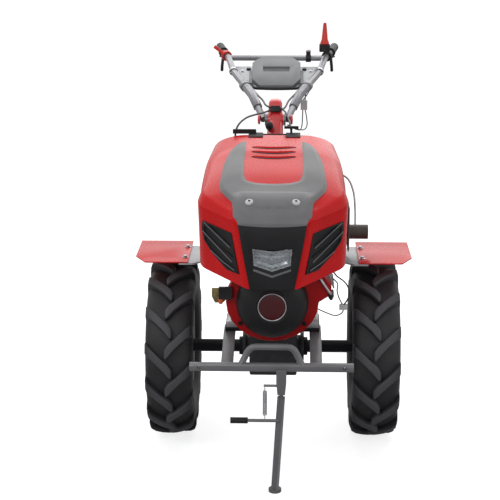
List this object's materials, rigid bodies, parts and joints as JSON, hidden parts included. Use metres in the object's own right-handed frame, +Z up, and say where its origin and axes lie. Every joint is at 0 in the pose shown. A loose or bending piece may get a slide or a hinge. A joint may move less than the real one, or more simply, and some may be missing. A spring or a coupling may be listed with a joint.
{
  "type": "walking tractor",
  "caption": "Two-wheeled walking tractor with a lifting red bonnet over a single-cylinder engine, lugged tyres, flat mudguards, a folding front stand and a raised handlebar with console.",
  "frame": {"origin": "on the ground, under the middle of the machine's bounding box", "axes": "+Z up, the machine faces -Y, the handlebar points to +Y, +X is the machine's own left side"},
  "size_m": [0.914, 1.4932, 1.317],
  "materials": {
    "black_paint": "satin black enamel",
    "black_plastic": "moulded black plastic",
    "cable": "black plastic cable sheath",
    "cast_grey": "painted sand casting",
    "clear_lens": "clear polycarbonate",
    "exhaust": "heat-proof dark grey paint",
    "gold_zinc": "yellow zinc plating",
    "grey_paint": "satin mid-grey enamel",
    "light_grey_paint": "satin light-grey enamel",
    "red_paint": "gloss red enamel",
    "red_plastic": "gloss red moulding",
    "rim_silver": "silver enamel",
    "rubber": "moulded black rubber",
    "silver_casting": "die-cast aluminium",
    "tyre": "moulded black tyre rubber",
    "white_plastic": "moulded white nylon",
    "zinc": "bright zinc plating"
  },
  "bodies": {
    "chassis": {"air_cleaner": "black_plastic", "blower_housing": "red_paint", "bonnet_support": "black_paint", "cable_a_lower": "cable", "cable_b_lower": "cable", "carburettor": "silver_casting", "clutch_housing": "silver_casting", "crankcase": "silver_casting", "cylinder": "silver_casting", "engine_frame": "black_paint", "front_bumper": "grey_paint", "fuel_tank": "black_paint", "mudguard_carrier": "light_grey_paint", "mudguard_left": "red_paint", "mudguard_right": "red_paint", "muffler": "exhaust", "rear_hitch": "black_paint", "recoil_badge": "red_plastic", "recoil_cover": "black_plastic", "stand_bracket": "grey_paint", "stand_spring": "zinc", "throttle_bracket": "gold_zinc", "transmission_case": "cast_grey"},
    "handlebar": {"arm_sleeve_left": "rubber", "arm_sleeve_right": "rubber", "bar_knob": "black_plastic", "cable_a_upper": "cable", "cable_b_upper": "cable", "console": "grey_paint", "console_plate": "light_grey_paint", "gear_lever": "red_plastic", "grip_left": "rubber", "grip_right": "rubber", "handlebar_frame": "grey_paint", "lever_bracket": "black_plastic", "throttle_lever": "red_plastic"},
    "wheel_left": {"axle_left": "black_paint", "rim_left": "rim_silver", "tyre_left": "tyre"},
    "wheel_right": {"axle_right": "black_paint", "rim_right": "rim_silver", "tyre_right": "tyre"},
    "bonnet": {"bonnet_button_left": "white_plastic", "bonnet_button_right": "white_plastic", "bonnet_hinge_left": "black_paint", "bonnet_hinge_right": "black_paint", "bonnet_shell": "red_paint", "front_mask": "black_plastic", "grille_left": "black_plastic", "grille_right": "black_plastic", "headlamp": "clear_lens"},
    "column": {"cable_clip": "black_plastic", "column_knob": "black_plastic", "steering_column": "red_paint"},
    "stand": {"stand_grip": "rubber", "stand_leg": "grey_paint"}
  },
  "joints": [
    {"name": "wheel_right_spin", "type": "hinge", "parent": "chassis", "child": "wheel_right", "pos_m": [-0.338, -0.20764, 0.3], "axis": [1, 0, 0], "continuous": true},
    {"name": "wheel_left_spin", "type": "hinge", "parent": "chassis", "child": "wheel_left", "pos_m": [0.338, -0.20764, 0.3], "axis": [1, 0, 0], "continuous": true},
    {"name": "bonnet_hinge", "type": "hinge", "parent": "chassis", "child": "bonnet", "pos_m": [0, -0.14164, 1.01659], "axis": [-1, 0, 0], "range_deg": [0, 60]},
    {"name": "stand_fold", "type": "hinge", "parent": "chassis", "child": "stand", "pos_m": [0.03, -0.72064, 0.345], "axis": [1, 0, 0], "range_deg": [0, 80], "deforming": ["stand_spring"]},
    {"name": "column_swivel", "type": "hinge", "parent": "chassis", "child": "column", "pos_m": [0, -0.06764, 0.688], "axis": [0, 0, 1], "range_deg": [-30, 30], "deforming": ["cable_a_lower", "cable_b_lower"]},
    {"name": "handlebar_tilt", "type": "hinge", "parent": "column", "child": "handlebar", "pos_m": [0, 0.09236, 1.03], "axis": [1, 0, 0], "range_deg": [-12, 12], "deforming": ["cable_a_upper", "cable_b_upper"]}
  ]
}
